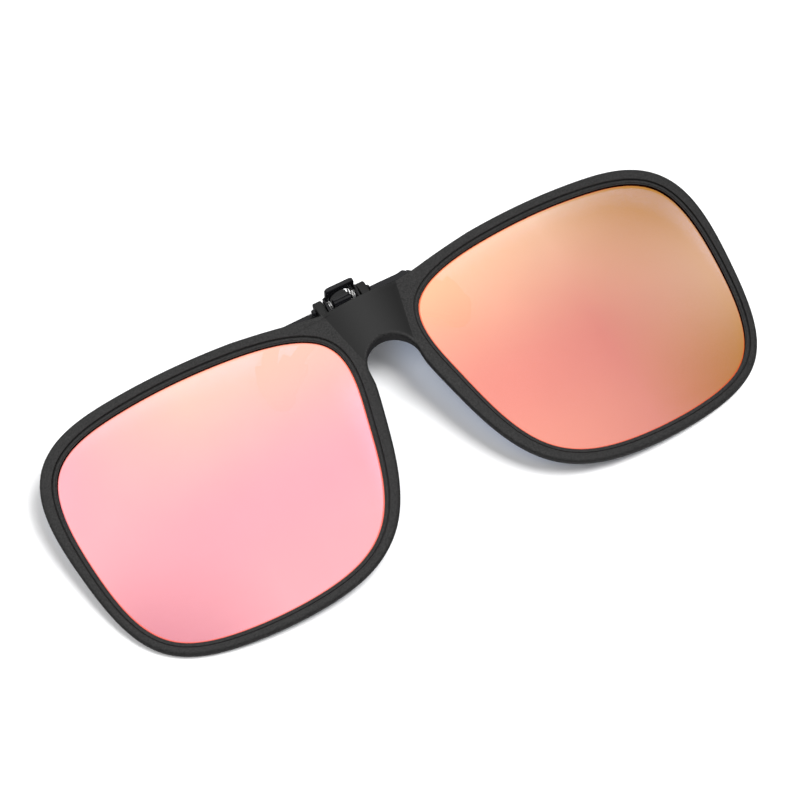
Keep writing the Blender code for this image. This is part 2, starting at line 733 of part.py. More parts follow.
def lay_down(pose, front):
    """Tilts the object to its rest and puts its base centre on the origin."""
    rear = [thing for thing in bpy.data.objects if thing.name in ("pad_rear_left", "pad_rear_right")]
    pose.rotation_euler.x = resting_tilt(front, rear)
    bpy.context.view_layer.update()
    depsgraph = bpy.context.evaluated_depsgraph_get()
    corners = []
    for thing in bpy.data.objects:
        if thing.type == "MESH" and not thing.hide_render:
            shown = thing.evaluated_get(depsgraph)
            corners += [shown.matrix_world @ vert.co for vert in shown.data.vertices]
    y_values = [corner.y for corner in corners]
    pose.location.y = -(min(y_values) + max(y_values)) / 2
    pose.location.z = -min(corner.z for corner in corners)
    bpy.context.view_layer.update()


def main():
    clear_scene()
    looks = {
        "plastic": material("matte_black_plastic", BLACK, 0.55),
        "black_steel": material("black_coated_steel", (0.02, 0.02, 0.022, 1.0), 0.3),
        "steel": material("spring_steel", (0.75, 0.75, 0.76, 1.0), 0.25, 1.0),
        "rubber": material("black_rubber", (0.03, 0.03, 0.03, 1.0), 0.6),
        "lens_left": material("pink_mirror_lens", (0.95, 0.45, 0.5, 1.0), 0.1, 0.3, 0.9),
        "lens_right": material("orange_mirror_lens", (0.85, 0.45, 0.28, 1.0), 0.1, 0.3, 0.9),
    }
    pose = add_empty("lying_pose")
    flip = add_empty("flip_axis", pose, PIN)
    clip = add_empty("clip_body", pose, PIN)
    clamp = add_empty("clamp_axis", pose, PIN)
    front = add_front(looks, flip)
    add_clip(looks, clip, clamp)
    lay_down(pose, front)


main()
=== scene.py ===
"""Studio scene of clip-on flip-up sunglasses lying fronts-up on a white floor.

Pieces are modelled as worn (X to the right lens, Y to the brow, Z out of the front) and then
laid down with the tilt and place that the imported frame's joint and mounts give.
"""

import json
import math

import bmesh
import bpy
from mathutils import Matrix, Vector


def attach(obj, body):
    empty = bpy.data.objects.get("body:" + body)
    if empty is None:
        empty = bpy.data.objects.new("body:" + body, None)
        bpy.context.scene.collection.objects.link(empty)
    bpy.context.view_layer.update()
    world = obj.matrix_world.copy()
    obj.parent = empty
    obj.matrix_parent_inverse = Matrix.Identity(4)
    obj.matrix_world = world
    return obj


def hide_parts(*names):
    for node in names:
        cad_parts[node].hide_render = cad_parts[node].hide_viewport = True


MM = 0.001

# Front, as worn: lens opening (closed cubic B-spline corners of the right lens, mm) and its bend.
LENS_CORNERS = (
    (66.5, -0.9, 2.3), (67.3, 21.6, 3.65), (49.4, 24.0, 2.9), (30.2, 23.5, 2.8), (5.1, 19.2, 3.3),
    (9.8, -0.3, 3.4), (12.9, -15.4, 2.85), (22.2, -26.9, 2.55), (52.4, -25.6, 2.25), (63.3, -18.4, 2.3),
)
STEPS_PER_CORNER = 20
BEND_RADIUS = 311 * MM
RIM_DEPTH = 2.6 * MM
BRIDGE_DEPTH = 3.3 * MM
LENS_DEPTH = 0.95 * MM
LENS_THICKNESS = 0.8 * MM
LENS_EDGE_INSETS = (-0.6, 0.0, 0.12, 0.25, 0.45, 0.9)
LENS_RINGS = 24
LENS_FAR_REACH = 5.0
TINT_MAP_SIZE = (70 * MM, 56 * MM)

# Rim section, in mm: (outward from the lens opening, behind the face), from the groove's back.
LIP_SECTION = (
    (0.90, 2.00), (0.90, 0.70), (0.02, 0.70), (0.00, 0.62), (0.04, 0.56), (0.24, 0.52),
    (0.27, 0.36), (0.34, 0.32), (0.66, 0.30), (0.72, 0.34), (0.75, 0.55), (0.90, 0.55),
    (0.94, 0.10), (1.02, 0.01), (1.12, 0.00),
)
# Then (inward from the outer edge, behind the face), over the front shoulder to the back.
EDGE_SECTION = (
    (0.85, 0.00), (0.62, 0.02), (0.42, 0.08), (0.26, 0.18), (0.13, 0.33), (0.05, 0.53),
    (0.01, 0.80), (0.18, 1.90), (0.26, 2.16), (0.40, 2.38), (0.58, 2.53), (0.80, 2.60),
)
# Points of the edge section less deep than this belong to the front shoulder, the rest to the back.
SHOULDER_FRONT = 1.5
BACK_SECTION = ((0.50, 2.60), (0.20, 2.55), (0.04, 2.42), (0.00, 2.25), (0.00, 2.02), (0.03, 2.00))

# Bridge: nose arch, brow line (mm) and the raised panel.
ARCH_RADIUS = 5.05 * MM
ARCH_CENTRE_Y = 7.55 * MM
BROW_LINE = ((0, 22.15), (4, 22.1), (7.7, 22.1), (11, 22.6), (15, 23.45), (20, 24.45), (25, 25.32))
BRIDGE_FROM = (8.6, 7.0)
BRIDGE_TO = (25.0, 22.2)
ARCH_END = 0.36
CENTRE_END = 0.60
PANEL_HALF_TOP = 7.7 * MM
PANEL_HALF_BOTTOM = 5.3 * MM
PANEL_TOP_Y = 21.95 * MM
PANEL_BOTTOM_Y = 10.65 * MM
PANEL_BULGE = 0.8 * MM
PANEL_COLUMNS = 10
BRIDGE_FADE = 5
CENTRE_MARGIN = 1.5 * MM
BROW_PROBE = 0.3 * MM
PANEL_BORDER = 0.6 * MM
PANEL_BLUR = 0.03
BORDER_BLUR = 0.04

# Hinge, as worn.
PIN_Y = 29.3 * MM
PIN_Z = -14.85 * MM
PIN_RADIUS = 0.45 * MM
BORE_RADIUS = 0.7 * MM
PIN_HEAD_RADIUS = 0.8 * MM
PIN_HEAD_GAP = 0.3 * MM
# Heads in mm, as (beyond the shank's end, radius): the left one from its top, the right one to its top.
PIN_LEFT_HEAD = ((0.6, 0.0), (0.58, 0.35), (0.5, 0.6), (0.36, 0.74), (0.2, 0.8))
PIN_RIGHT_HEAD = ((0.2, 0.68), (0.35, 0.5), (0.4, 0.25), (0.36, 0.0))
PIN_RIGHT_HEAD_RADIUS = 0.74 * MM
LUG_INNER = 3.75 * MM
LUG_OUTER = 5.5 * MM
LUG_RADIUS = 1.75 * MM
LUG_FRONT = ((17.6, -2.4), (21.3, -2.4), (27.4, -12.95), (30.3, -13.55))
LUG_ROOT = ((17.2, -4.6), (16.1, -3.4), (15.3, -2.4))
LUG_EYE = (20, -180, 40)  # from and to, in degrees, and steps; EAR_EYE the same
LUG_ROUNDING = 0.22 * MM
EAR_INNER = 3.1 * MM
EAR_OUTER = 3.5 * MM
EAR_RADIUS = 1.35 * MM
EAR_BELOW_LEVER = 0.25 * MM
EAR_FRONT = 0.9 * MM
EAR_EYE = (-10, -170, 28)
EAR_FOOT_Y = 24.7 * MM
EAR_FOOT_HALF = 0.2 * MM
EAR_WAIST = ((27.9, 0.5), (29.6, 0.9))
EAR_ROUNDING = 0.07 * MM
KNUCKLE_HALF = 1.8 * MM
KNUCKLE_RADIUS = 1.15 * MM
KNUCKLE_CHAMFER = 0.1 * MM

# Clip jaws: strips as (x, y, width) stations in mm.
SHEET = 0.5 * MM
FRONT_CLAW_Z = -14.0 * MM
REAR_CLAW_Z = -16.7 * MM
REAR_BAR_Z = -17.2 * MM
REAR_LEAN_FROM = 23 * MM
REAR_LEAN_TO = 28 * MM
PAD_HALF_DEPTH = 1.2 * MM
PAD_LENGTH = 6.5 * MM
PAD_OVERHANG = 1.1 * MM
PAD_ROUNDING = 0.5 * MM
CROSS_PLATE_Y = (23.9 * MM, 27.0 * MM)
TAB_HALF = KNUCKLE_HALF / MM
TAB_OUTLINE = (
    (-TAB_HALF, 30.05), (TAB_HALF, 30.05), (TAB_HALF, 31.3), (1.3, 31.8), (-1.5, 31.45), (-TAB_HALF, 31.1),
)
TAB_FORWARD = 0.45 * MM
TAB_HALF_DEPTH = 0.3 * MM
NECK_Y = (28.7 * MM, 30.1 * MM)
NECK_BEHIND_BAR = 0.2 * MM
NECK_BEHIND_PIN = 0.8 * MM
STEEL_ROUNDING = 0.1 * MM
EDGE_ROUNDING = 0.08 * MM
FRONT_CLAW = (
    (2.6, 24.7, 2.2), (7.2, 24.3, 2.2), (11.4, 22.9, 2.6), (15.2, 20.4, 3.0), (19.0, 17.4, 3.2),
)
REAR_CLAW = (
    (0.0, 29.83, 1.15), (12.2, 29.83, 1.2), (14.1, 29.3, 2.4),
    (17.2, 25.9, 3.0), (19.2, 21.6, 3.2), (19.0, 17.4, 3.2),
)
LEVER_FRONT = -9.55 * MM
LEVER_BACK = -13.85 * MM
LEVER_TOP = 30.75 * MM
LEVER_THICKNESS = 0.95 * MM
LEVER_HALF = 3.05 * MM
LEVER_ARCH_HALF = 2.1 * MM
LEVER_ARCH_DEPTH = 2.5 * MM
LEVER_CORNER = 0.9 * MM
LEVER_CORNER_STEPS = 6
LEVER_ARCH_STEPS = 16
LEVER_SHOULDER = (0.8 * MM, 0.6 * MM)
LEVER_ROUNDING = 0.3 * MM

# Springs.
WIRE_RADIUS = 0.16 * MM
COIL_RADIUS = 0.87 * MM
COIL_TURNS = 1.75
COIL_PITCH = 0.4 * MM
COIL_CENTRE = 2.45 * MM
SPRING_LEG = 2.0 * MM
SPRING_STEPS = 84
SPRING_START = -35
FRONT_LEG_SHARE = 0.7
REAR_LEG_SHARE = 0.6

# Camera, as worn: where it stands and its three directions.
CAMERA_AT = Vector((-84.9, -145.4, 385.8)) * MM
CAMERA_RIGHT = Vector((0.8832, -0.4689, 0.0109))
CAMERA_FORWARD = Vector((0.1950, 0.3458, -0.9178))
CAMERA_LENS = 103.5
SENSOR = 36.0

# Studio light, set so that the blacks stay dark: strengths of the dome and its shares, and the lamps.
DOME_LIGHT = 1.4
HORIZON_LIGHT = 0.4
SIDE_FALLOFF = 0.62
FLOOR_IN_GLOSS = 0.2
DOME_FILL = 0.34
HORIZON_HEIGHT, DOME_HEIGHT = 0.2, 0.68
SIDE_FROM, SIDE_TO = 0.28, 0.66
LAMP_DISTANCE = 1.2
RIGHT_POWER, RIGHT_SIZE, RIGHT_FROM = 16.0, 0.4, (0.26, -0.42, 1.0)
LEFT_POWER, LEFT_SIZE, LEFT_FROM = 4.5, 0.6, (-0.45, -0.45, 1.0)

# Mirror colours at the brow, the middle and the lower rim: nose side, middle and temple side. They are partly
# the coats' own pink and orange and partly painted reflection: the lighter and darker runs over each lens
# stand in for how the studio reflects in it.
PEACH, ROSE, DEEP_ROSE = (250, 200, 180), (250, 175, 180), (220, 140, 150)
APRICOT, CORAL, AMBER = (255, 200, 160), (240, 155, 135), (215, 150, 60)
PINK_COAT_AND_PAINTED_REFLECTION = ((PEACH, ROSE, ROSE), (PEACH, ROSE, ROSE), (ROSE, ROSE, DEEP_ROSE))
ORANGE_COAT_AND_PAINTED_REFLECTION = ((APRICOT, CORAL, CORAL), (APRICOT, CORAL, CORAL), (AMBER, APRICOT, AMBER))
TINT_PLACES = (0.875, 0.5, 0.125)
NOSE_TO_MIDDLE = (0.2, 0.54)
MIDDLE_TO_TEMPLE = (0.54, 0.9)
# Painted reflection: an orange-red line laid into the mirror coat's colour along the lens's cut edge,
# standing in for the rim's reflection in it.
EDGE_PAINTED_REFLECTION = (255, 92, 40)
EDGE_PAINTED_REFLECTION_REACH = (0.08, 0.42)
EDGE_PAINTED_REFLECTION_SHARE = 0.85
COAT_THROUGH, COAT_THROUGH_TINT = 0.17, (0.50, 0.70, 1.0)
BACK_THROUGH, BACK_THROUGH_TINT = 0.75, (0.68, 0.80, 0.98)


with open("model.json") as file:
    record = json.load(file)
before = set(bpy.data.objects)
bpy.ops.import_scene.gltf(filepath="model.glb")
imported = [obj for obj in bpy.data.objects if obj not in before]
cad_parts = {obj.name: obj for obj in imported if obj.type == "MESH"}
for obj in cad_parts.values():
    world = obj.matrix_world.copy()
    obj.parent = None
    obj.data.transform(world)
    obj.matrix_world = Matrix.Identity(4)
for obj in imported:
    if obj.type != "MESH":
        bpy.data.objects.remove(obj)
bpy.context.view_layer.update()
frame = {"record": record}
JOINTS = {joint["name"]: joint for joint in frame["record"]["behaviour"]["joints"]}
MOUNTS = {mount["name"]: mount for mount in frame["record"]["mounts"]}


def lying_pose():
    """Turns worn coordinates into the frame's: front against the bridge stop's axis, pin on the joint."""
    out = -Vector(MOUNTS["bridge_stop"]["axis"]).normalized()
    brow = Vector((0, out.z, -out.y))
    turn = Matrix((Vector((1, 0, 0)), brow, out)).transposed()
    pin = Vector(JOINTS["flip_up"]["pos_m"])
    return Matrix.Translation(pin - turn @ Vector((0, PIN_Y, PIN_Z))) @ turn.to_4x4()


LYING = lying_pose()


# ---------------------------------------------------------------- small mesh tools


def add_piece(name, mesh, look, body, stands_for):
    """A shown piece from a bmesh in worn coordinates."""
    bmesh.ops.recalc_face_normals(mesh, faces=mesh.faces)
    mesh.transform(LYING)
    data = bpy.data.meshes.new(name)
    mesh.to_mesh(data)
    mesh.free()
    for entry in look if isinstance(look, (list, tuple)) else [look]:
        data.materials.append(entry)
    piece = bpy.data.objects.new(name, data)
    bpy.context.scene.collection.objects.link(piece)
    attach(piece, body)
    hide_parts(*stands_for)
    return piece


def smooth(piece, degrees):
    """Smooth shading, keeping edges sharper than this hard."""
    piece.data.shade_smooth()
    piece.data.set_sharp_from_angle(angle=math.radians(degrees))


def merge(target, extra):
    """Copies a bmesh into another and frees it."""
    copied = {}
    for vert in extra.verts:
        copied[vert] = target.verts.new(vert.co)
    for face in extra.faces:
        target.faces.new([copied[vert] for vert in face.verts])
    extra.free()
    return target


def moved_verts(made):
    return [part for part in made if isinstance(part, bmesh.types.BMVert)]


def extruded(mesh, points, along):
    """A prism from a closed outline of points, extruded by the vector along."""
    face = mesh.faces.new([mesh.verts.new(point) for point in points])
    made = bmesh.ops.extrude_face_region(mesh, geom=[face])["geom"]
    bmesh.ops.translate(mesh, verts=moved_verts(made), vec=along)
    bmesh.ops.recalc_face_normals(mesh, faces=mesh.faces)
    return mesh


def soften(mesh, width, segments=3, angle=35):
    """Bevels every edge sharper than the angle."""
    sharp = [edge for edge in mesh.edges if edge.calc_face_angle(0) > math.radians(angle)]
    bmesh.ops.bevel(
        mesh, geom=sharp, offset=width, segments=segments, profile=0.5, affect="EDGES", clamp_overlap=True
    )
    return mesh


def box(x, y, z):
    mesh = bmesh.new()
    bmesh.ops.create_cube(mesh, size=1.0)
    for vert in mesh.verts:
        for axis, (low, high) in enumerate((x, y, z)):
            vert.co[axis] = (low + high) / 2 + vert.co[axis] * (high - low)
    return mesh


def arc(y, z, radius, start, end, steps):
    """Points of an arc in the (y, z) plane, angles in degrees from +Y toward +Z."""
    turns = [math.radians(start + (end - start) * step / steps) for step in range(steps + 1)]
    return [(y + radius * math.cos(turn), z + radius * math.sin(turn)) for turn in turns]


def side_profile(points, x_from, x_to):
    """A flat plate standing across X from (y, z) points."""
    outline = [Vector((x_from, y, z)) for y, z in points]
    return extruded(bmesh.new(), outline, Vector((x_to - x_from, 0, 0)))


def turned(profile, steps=48):
    """A round piece about the pin's axis from (x, radius) points."""
    mesh = bmesh.new()
    line = [mesh.verts.new((x, PIN_Y + radius, PIN_Z)) for x, radius in profile]
    edges = [mesh.edges.new(pair) for pair in zip(line, line[1:])]
    bmesh.ops.spin(
        mesh,
        geom=line + edges,
        cent=(0, PIN_Y, PIN_Z),
        axis=(1, 0, 0),
        angle=math.tau,
        steps=steps,
        use_duplicate=False,
    )
    bmesh.ops.remove_doubles(mesh, verts=mesh.verts, dist=1e-7)
    return mesh


# ---------------------------------------------------------------- front moulding


def bent(x, depth):
    """Height of the bent front at x, this far behind its face."""
    return -x * x / (2 * BEND_RADIUS) - depth


def lens_stations():
    """Round the right lens opening, counter-clockwise: point, outward direction and rim width."""
    corners = [Vector(corner) * MM for corner in LENS_CORNERS]
    found = []
    for index in range(len(corners)):
        a, b, c, d = (corners[(index + shift) % len(corners)] for shift in (-1, 0, 1, 2))
        for step in range(STEPS_PER_CORNER):
            t = step / STEPS_PER_CORNER
            near = (1 - t) ** 3 * a + (3 * t**3 - 6 * t**2 + 4) * b
            far = (3 * t + 3 * t**2 - 3 * t**3 + 1) * c + t**3 * d
            found.append((near + far) / 6)
    stations = []
    for index, at in enumerate(found):
        along = found[(index + 1) % len(found)] - found[index - 1]
        stations.append((at.xy, Vector((along.y, -along.x)).normalized(), at.z))
    return stations


def brow_point(x):
    """Point on the brow line at x, smooth through its named places."""
    places = [Vector(place) * MM for place in BROW_LINE]
    for index in range(len(places) - 1):
        b, c = places[index], places[index + 1]
        if x <= c.x or index == len(places) - 2:
            a = places[index - 1] if index else Vector((-c.x, c.y))
            d = places[min(index + 2, len(places) - 1)]
            t = (x - b.x) / (c.x - b.x)
            rise = (c.y - a.y) / (c.x - a.x) * (c.x - b.x)
            fall = (d.y - b.y) / max(d.x - b.x, MM) * (c.x - b.x)
            y = (
                (2 * t**3 - 3 * t**2 + 1) * b.y
                + (t**3 - 2 * t**2 + t) * rise
                + (3 * t**2 - 2 * t**3) * c.y
                + (t**3 - t**2) * fall
            )
            return Vector((x, y))
    return places[-1]


def bridge_edge(share):
    """Outer edge point and inward direction, from the nose side (0) over arch and centre to brow (1)."""
    if share <= ARCH_END:
        turn = math.radians(90) * share / ARCH_END
        way = Vector((math.cos(turn), math.sin(turn)))
        return Vector((0, ARCH_CENTRE_Y)) + ARCH_RADIUS * way, way
    last = BROW_LINE[-1][0] * MM
    x = (share - CENTRE_END) / (1 - CENTRE_END) * last
    at = brow_point(x)
    along = (brow_point(x + BROW_PROBE) - brow_point(max(x - BROW_PROBE, 0.0))).normalized()
    return at, Vector((along.y, -along.x))


def panel_edge(y):
    rise = (y - PANEL_BOTTOM_Y) / (PANEL_TOP_Y - PANEL_BOTTOM_Y)
    return PANEL_HALF_BOTTOM + rise * (PANEL_HALF_TOP - PANEL_HALF_BOTTOM)


def panel_lift(point):
    """How far the bridge panel's bulge stands above the bent face here."""
    return PANEL_BULGE * max(0.0, 1 - (point.x / panel_edge(point.y)) ** 2)


def crease_share(inner, outer):
    before = inner.x - panel_edge(inner.y)
    after = outer.x - panel_edge(outer.y)
    return before / (before - after) if after < 0 < before else None


def nearest_station(stations, place):
    target = Vector(place) * MM
    return min(range(len(stations)), key=lambda index: (stations[index][0] - target).length)


def edge_places(stations):
    """For each station: outer edge, inward direction, part of the front and share of the bridge's depth."""
    brow = nearest_station(stations, BRIDGE_TO)
    count = (nearest_station(stations, BRIDGE_FROM) - brow) % len(stations)
    arch_step = round(count * (1 - ARCH_END))
    top_step = round(count * (1 - CENTRE_END))
    places = [(point + width * way, -way, "rim", 0.0) for point, way, width in stations]
    for step in range(count + 1):
        index = (brow + step) % len(stations)
        deep = min(step / BRIDGE_FADE, (count - step) / BRIDGE_FADE, 1.0)
        if step < top_step:
            share = 1 - (1 - CENTRE_END) * step / top_step
            places[index] = (*bridge_edge(share), "bridge", deep)
        elif step == top_step:
            places[index] = (Vector(BROW_LINE[0]) * MM, Vector((0, -1)), "corner", deep)
        elif step < arch_step:
            low = ARCH_CENTRE_Y + ARCH_RADIUS + CENTRE_MARGIN
            high = BROW_LINE[0][1] * MM - CENTRE_MARGIN
            rise = (arch_step - step) / (arch_step - top_step)
            places[index] = (Vector((0, low + rise * (high - low))), Vector((1, 0)), "centre", deep)
        elif step == arch_step:
            places[index] = (Vector((0, ARCH_CENTRE_Y + ARCH_RADIUS)), Vector((0, 1)), "corner", deep)
        else:
            share = ARCH_END * (count - step) / (count - arch_step)
            places[index] = (*bridge_edge(share), "bridge", deep)
    return places


def front_station(mesh, point, normal, edge, inward, part, deep):
    """Vertices of one section through the front: lens side, face, shoulder round to the back, back."""
    on_bridge = part != "rim"

    def place(at, depth, lifted=False):
        lift = panel_lift(at) if lifted and on_bridge else 0.0
        return mesh.verts.new((at.x, at.y, bent(at.x, depth) + lift))

    lip = [place(point + across * MM * normal, depth * MM) for across, depth in LIP_SECTION]
    bead = point + LIP_SECTION[-1][0] * MM * normal
    first = edge if part == "centre" else edge + EDGE_SECTION[0][0] * MM * inward
    face = [lip[-1]]
    share = crease_share(bead, first) if on_bridge else None
    creased = share is not None
    if creased:
        crease = bead.lerp(first, share)
        for column in range(PANEL_COLUMNS):
            face.append(place(crease.lerp(first, column / PANEL_COLUMNS), 0.0, True))
    deeper = deep * (BRIDGE_DEPTH - RIM_DEPTH)
    shoulder = []
    if part == "centre":
        face.append(place(first, 0.0, True))
        back_first = place(first, BRIDGE_DEPTH)
    else:
        for inset, depth in EDGE_SECTION:
            in_front = depth < SHOULDER_FRONT
            sunk = depth * MM + (0.0 if in_front else deeper)
            shoulder.append(place(edge + inset * MM * inward, sunk, in_front))
        face.append(shoulder[0])
        back_first = shoulder[-1]
    back = [back_first]
    back += [place(point + across * MM * normal, depth * MM) for across, depth in BACK_SECTION]
    return {"lip": lip, "face": face, "shoulder": shoulder, "back": back, "creased": creased, "part": part}


def quad(mesh, *corners):
    kept = []
    for corner in corners:
        if corner not in kept:
            kept.append(corner)
    return mesh.faces.new(kept) if len(kept) > 2 else None


def strip(mesh, first, second):
    for low, high in zip(range(len(first)), range(1, len(first))):
        quad(mesh, first[low], second[low], second[high], first[high])


def join_stations(mesh, here, there):
    strip(mesh, here["lip"], there["lip"])
    if here["shoulder"] and there["shoulder"]:
        strip(mesh, here["shoulder"], there["shoulder"])
    if len(here["face"]) == len(there["face"]):
        strip(mesh, here["face"], there["face"])
        if here["creased"] and there["creased"]:
            crease = mesh.edges.get((here["face"][1], there["face"][1]))
            crease.smooth = False
    else:
        quad(mesh, *here["face"][:1], *there["face"], *reversed(here["face"][1:]))
    strip(mesh, here["back"], there["back"])
    quad(mesh, here["back"][-1], there["back"][-1], there["lip"][0], here["lip"][0])


def front_mesh():
    """The whole moulding: the right half swept round its lens, mirrored and sewn at the centre."""
    lens = lens_stations()
    mesh = bmesh.new()
    stations = []
    for (point, normal, _), place in zip(lens, edge_places(lens)):
        stations.append(front_station(mesh, point, normal, *place))
    for index, here in enumerate(stations):
        join_stations(mesh, here, stations[(index + 1) % len(stations)])
    copied = bmesh.ops.duplicate(mesh, geom=mesh.verts[:] + mesh.edges[:] + mesh.faces[:])["geom"]
    for vert in moved_verts(copied):
        vert.co.x = -vert.co.x
    for edge in copied:
        if isinstance(edge, bmesh.types.BMEdge):
            edge.smooth = True
    middle = [vert for vert in mesh.verts if abs(vert.co.x) < 1e-7]
    bmesh.ops.remove_doubles(mesh, verts=middle, dist=1e-6)
    return mesh


def lug_mesh(side):
    """One hinge lug: an arm from the back of the bridge to the eye round the pin."""
    eye = arc(PIN_Y, PIN_Z, LUG_RADIUS, *LUG_EYE)
    front, root = ([(y * MM, z * MM) for y, z in points] for points in (LUG_FRONT, LUG_ROOT))
    mesh = side_profile(front + eye + root, side * LUG_INNER, side * LUG_OUTER)
    return soften(mesh, LUG_ROUNDING, 3, 40)


def add_worn_map(mesh):
    """Keeps each point's worn x and y, in mm, so that the painted shade on the bridge panel follows its
    crease.
    """
    places = mesh.loops.layers.uv.new("worn_map")
    for face in mesh.faces:
        for loop in face.loops:
            loop[places].uv = (loop.vert.co.x / MM, loop.vert.co.y / MM)


def add_front(looks):
    mesh = front_mesh()
    for side in (-1, 1):
        merge(mesh, lug_mesh(side))
    add_worn_map(mesh)
    front = add_piece("front_moulding", mesh, looks["plastic"], "front", ["front_frame"])
    smooth(front, 38)
    return front


# ---------------------------------------------------------------- lenses


def lens_mesh(side):
    """One bent lens with its reach from the opening kept, so that a painted reflection can be laid on its
    coat at the rim.
    """
    outline = [point for point, _, _ in lens_stations()]
    normals = [way for _, way, _ in lens_stations()]
    centre = sum(outline, Vector((0, 0))) / len(outline)
    mesh = bmesh.new()
    reach = mesh.verts.layers.float.new("edge_reach")
    tint = mesh.loops.layers.uv.new("tint_map")
    rings = []
    for depth in (LENS_DEPTH, LENS_DEPTH + LENS_THICKNESS):
        sheet = []
        for inset in LENS_EDGE_INSETS:
            sheet.append(([p - inset * MM * n for p, n in zip(outline, normals)], inset))
        start = sheet[-1][0]
        for ring in range(1, LENS_RINGS):
            share = 1 - ring / LENS_RINGS
            sheet.append(([centre + (p - centre) * share for p in start], LENS_FAR_REACH))
        made = []
        for points, inset in sheet:
            row = []
            for p in points:
                vert = mesh.verts.new((side * p.x, p.y, bent(p.x, depth)))
                vert[reach] = inset
                row.append(vert)
            made.append(row)
        middle = mesh.verts.new((side * centre.x, centre.y, bent(centre.x, depth)))
        middle[reach] = LENS_FAR_REACH
        rings.append((made, middle))
    count = len(outline)
    for sheet, (made, middle) in enumerate(rings):
        for outer, inner in zip(made, made[1:]):
            for index in range(count):
                after = (index + 1) % count
                face = mesh.faces.new((outer[index], outer[after], inner[after], inner[index]))
                face.material_index = sheet
        for index in range(count):
            face = mesh.faces.new((made[-1][index], made[-1][(index + 1) % count], middle))
            face.material_index = sheet
    front_edge, back_edge = rings[0][0][0], rings[1][0][0]
    for index in range(count):
        after = (index + 1) % count
        face = mesh.faces.new((front_edge[index], front_edge[after], back_edge[after], back_edge[index]))
        face.material_index = 1
    for face in mesh.faces:
        for loop in face.loops:
            at = loop.vert.co
            loop[tint].uv = (abs(at.x) / TINT_MAP_SIZE[0], 0.5 + at.y / TINT_MAP_SIZE[1])
    return mesh


def add_lenses(looks):
    for side, name, slot in ((-1, "left", "lens_pink"), (1, "right", "lens_orange")):
        look = [looks["mirror_" + name], looks["lens_back"]]
        lens = add_piece(f"mirror_lens_{name}", lens_mesh(side), look, "front", [f"lens_{name}"])
        smooth(lens, 40)


# ---------------------------------------------------------------- brow clip


def smoothed(path, steps):
    """Catmull-Rom points and widths through the stations, in metres."""
    given = [(Vector((x, y)) * MM, width * MM) for x, y, width in path]
    result = []
    for index in range(len(given) - 1):
        (a, _), (b, wide), (c, narrow) = given[max(index - 1, 0)], given[index], given[index + 1]
        d = given[min(index + 2, len(given) - 1)][0]
        for step in range(steps):
            t = step / steps
            bend = (2 * a - 5 * b + 4 * c - d) * t**2 + (3 * b - 3 * c + d - a) * t**3
            result.append(((2 * b + (c - a) * t + bend) / 2, wide + (narrow - wide) * t))
    result.append(given[-1])
    return result


def strip_outline(stations, widen=0.0, round_steps=18):
    """Outline of a strip along (point, width) stations, with a round far end."""
    left, right = [], []
    for index, (at, width) in enumerate(stations):
        before = stations[max(index - 1, 0)][0]
        after = stations[min(index + 1, len(stations) - 1)][0]
        along = (after - before).normalized()
        across = Vector((-along.y, along.x)) * (width / 2 + widen)
        left.append(at + across)
        right.append(at - across)
    end, radius = stations[-1][0], stations[-1][1] / 2 + widen
    last = (stations[-1][0] - stations[-2][0]).normalized()
    begin = math.atan2(last.y, last.x) + math.pi / 2
    cap = []
    for step in range(1, round_steps):
        turn = begin - math.pi * step / round_steps
        cap.append(end + radius * Vector((math.cos(turn), math.sin(turn))))
    return left + cap + right[::-1]


def plate(outline, side, middle, half):
    """A flat plate of the given half thickness from an outline in the front's plane."""
    points = [Vector((side * at.x, at.y, middle - half)) for at in outline]
    return extruded(bmesh.new(), points, Vector((0, 0, 2 * half)))


def leaned(mesh):
    """Brings the rear claws forward from the bar to where they meet the front ones."""
    for vert in mesh.verts:
        share = (REAR_LEAN_TO - vert.co.y) / (REAR_LEAN_TO - REAR_LEAN_FROM)
        vert.co.z += (REAR_CLAW_Z - REAR_BAR_Z) * min(max(share, 0.0), 1.0)
    return mesh


def claw(path, side, middle):
    return soften(plate(strip_outline(smoothed(path, 10)), side, middle, SHEET / 2), STEEL_ROUNDING)


def lever_mesh():
    """Finger lever of the front jaw: a thick tab with rolled edges, arched at the back."""
    outline = []
    for step in range(LEVER_CORNER_STEPS + 1):
        turn = math.radians(90 * step / LEVER_CORNER_STEPS)
        at_x = LEVER_HALF - LEVER_CORNER + LEVER_CORNER * math.sin(turn)
        outline.append((at_x, LEVER_FRONT - LEVER_CORNER + LEVER_CORNER * math.cos(turn)))
    inner, outer = LEVER_SHOULDER
    outline += [(LEVER_HALF, LEVER_BACK + inner), (EAR_OUTER, LEVER_BACK + outer), (EAR_OUTER, LEVER_BACK)]
    for step in range(LEVER_ARCH_STEPS + 1):
        turn = math.radians(90 * step / LEVER_ARCH_STEPS)
        across = LEVER_ARCH_HALF * math.cos(turn)
        outline.append((across, LEVER_BACK + LEVER_ARCH_DEPTH * math.sin(turn)))
    outline += [(-x, z) for x, z in reversed(outline[:-1])]
    low = LEVER_TOP - LEVER_THICKNESS
    points = [Vector((x, low, z)) for x, z in outline]
    return soften(extruded(bmesh.new(), points, Vector((0, LEVER_THICKNESS, 0))), LEVER_ROUNDING, 4, 50)


def ear_mesh(side):
    """One ear of the front jaw, from the lever round the pin and down to the cross plate."""
    top = LEVER_TOP - EAR_BELOW_LEVER
    profile = [(top, LEVER_BACK + EAR_FRONT), (top, LEVER_BACK)]
    profile += arc(PIN_Y, PIN_Z, EAR_RADIUS, *EAR_EYE)
    profile += [(EAR_FOOT_Y, FRONT_CLAW_Z - EAR_FOOT_HALF), (EAR_FOOT_Y, FRONT_CLAW_Z + EAR_FOOT_HALF)]
    profile += [(y * MM, LEVER_BACK + forward * MM) for y, forward in EAR_WAIST]
    return soften(side_profile(profile, side * EAR_INNER, side * EAR_OUTER), EAR_ROUNDING, 2)


